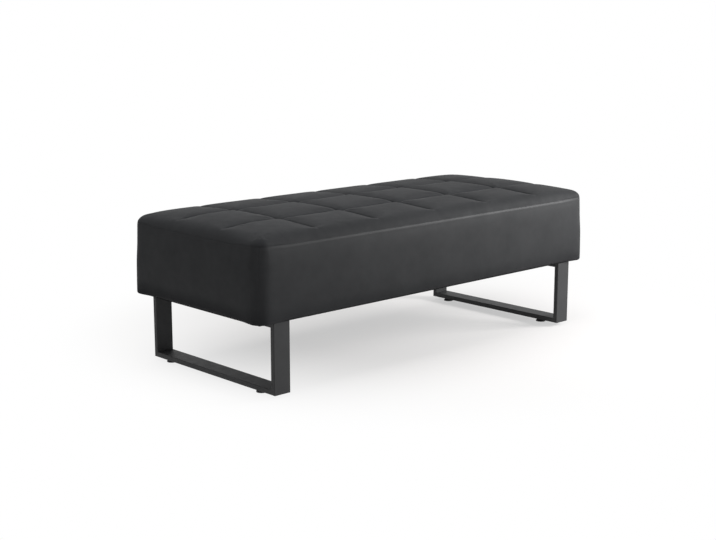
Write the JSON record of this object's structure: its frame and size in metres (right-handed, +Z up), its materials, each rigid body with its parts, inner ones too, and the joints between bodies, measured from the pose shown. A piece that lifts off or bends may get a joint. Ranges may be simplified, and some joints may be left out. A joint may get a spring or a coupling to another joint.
{
  "type": "waiting room bench",
  "caption": "Backless upholstered bench: thick boxed seat with a biscuit-tufted leather top on two closed loop legs of flat black steel tube, with levelling feet.",
  "frame": {"origin": "on the floor, under the middle of the seat", "axes": "+X along the bench's length, +Y from the front to the rear, +Z up"},
  "size_m": [1.3998, 0.5998, 0.4668],
  "materials": {
    "cover_leather": "black grained leather, satin",
    "frame_paint": "black powder coat, satin",
    "glide_plastic": "moulded, matt",
    "zinc_steel": "zinc plated",
    "pine": "sawn softwood",
    "plywood": "unfinished plywood",
    "foam": "open-cell upholstery foam",
    "dust_cloth": "spunbonded cloth",
    "twine": "waxed tufting twine"
  },
  "bodies": {
    "bench": {"corner_blocks": "pine", "cross_brace_1": "pine", "cross_brace_2": "pine", "cross_brace_3": "pine", "cross_brace_4": "pine", "deck_panel": "plywood", "deck_screws": "zinc_steel", "dust_cover": "dust_cloth", "dust_cover_staples": "zinc_steel", "foam_core": "foam", "foot_inserts": "zinc_steel", "frame_screws": "zinc_steel", "front_rail": "pine", "front_side_panel": "cover_leather", "left_bottom_rail": "frame_paint", "left_end_panel": "cover_leather", "left_end_rail": "pine", "left_front_upright": "frame_paint", "left_mounting_rail": "pine", "left_rear_upright": "frame_paint", "left_top_rail": "frame_paint", "leg_bolts": "zinc_steel", "leg_washers": "zinc_steel", "rear_rail": "pine", "rear_side_panel": "cover_leather", "right_bottom_rail": "frame_paint", "right_end_panel": "cover_leather", "right_end_rail": "pine", "right_front_upright": "frame_paint", "right_mounting_rail": "pine", "right_rear_upright": "frame_paint", "right_top_rail": "frame_paint", "side_padding": "foam", "tee_nuts": "zinc_steel", "tuft_toggles": "glide_plastic", "tuft_twines": "twine", "tufted_top": "cover_leather"},
    "front_left_pad": {"front_left_foot_pad": "glide_plastic"},
    "front_left_stud": {"front_left_foot_stud": "zinc_steel"},
    "front_right_pad": {"front_right_foot_pad": "glide_plastic"},
    "front_right_stud": {"front_right_foot_stud": "zinc_steel"},
    "rear_left_pad": {"rear_left_foot_pad": "glide_plastic"},
    "rear_left_stud": {"rear_left_foot_stud": "zinc_steel"},
    "rear_right_pad": {"rear_right_foot_pad": "glide_plastic"},
    "rear_right_stud": {"rear_right_foot_stud": "zinc_steel"}
  },
  "joints": [
    {"name": "front_left_foot_height", "type": "slide", "parent": "bench", "child": "front_left_pad", "axis": [0, 0, -1], "range_m": [0, 0.006]},
    {"name": "front_left_stud_turn", "type": "hinge", "parent": "front_left_pad", "child": "front_left_stud", "pos_m": [-0.6085, -0.1945, 0.0075], "axis": [0, 0, -1], "continuous": true},
    {"name": "front_right_foot_height", "type": "slide", "parent": "bench", "child": "front_right_pad", "axis": [0, 0, -1], "range_m": [0, 0.006]},
    {"name": "front_right_stud_turn", "type": "hinge", "parent": "front_right_pad", "child": "front_right_stud", "pos_m": [0.6085, -0.1945, 0.0075], "axis": [0, 0, -1], "continuous": true},
    {"name": "rear_left_foot_height", "type": "slide", "parent": "bench", "child": "rear_left_pad", "axis": [0, 0, -1], "range_m": [0, 0.006]},
    {"name": "rear_left_stud_turn", "type": "hinge", "parent": "rear_left_pad", "child": "rear_left_stud", "pos_m": [-0.6085, 0.2345, 0.0075], "axis": [0, 0, -1], "continuous": true},
    {"name": "rear_right_foot_height", "type": "slide", "parent": "bench", "child": "rear_right_pad", "axis": [0, 0, -1], "range_m": [0, 0.006]},
    {"name": "rear_right_stud_turn", "type": "hinge", "parent": "rear_right_pad", "child": "rear_right_stud", "pos_m": [0.6085, 0.2345, 0.0075], "axis": [0, 0, -1], "continuous": true}
  ],
  "couplings": [
    {"joint": "front_left_stud_turn", "follows": "front_left_foot_height", "rad_per_m": 5026.5},
    {"joint": "front_right_stud_turn", "follows": "front_right_foot_height", "rad_per_m": 5026.5},
    {"joint": "rear_left_stud_turn", "follows": "rear_left_foot_height", "rad_per_m": 5026.5},
    {"joint": "rear_right_stud_turn", "follows": "rear_right_foot_height", "rad_per_m": 5026.5}
  ]
}
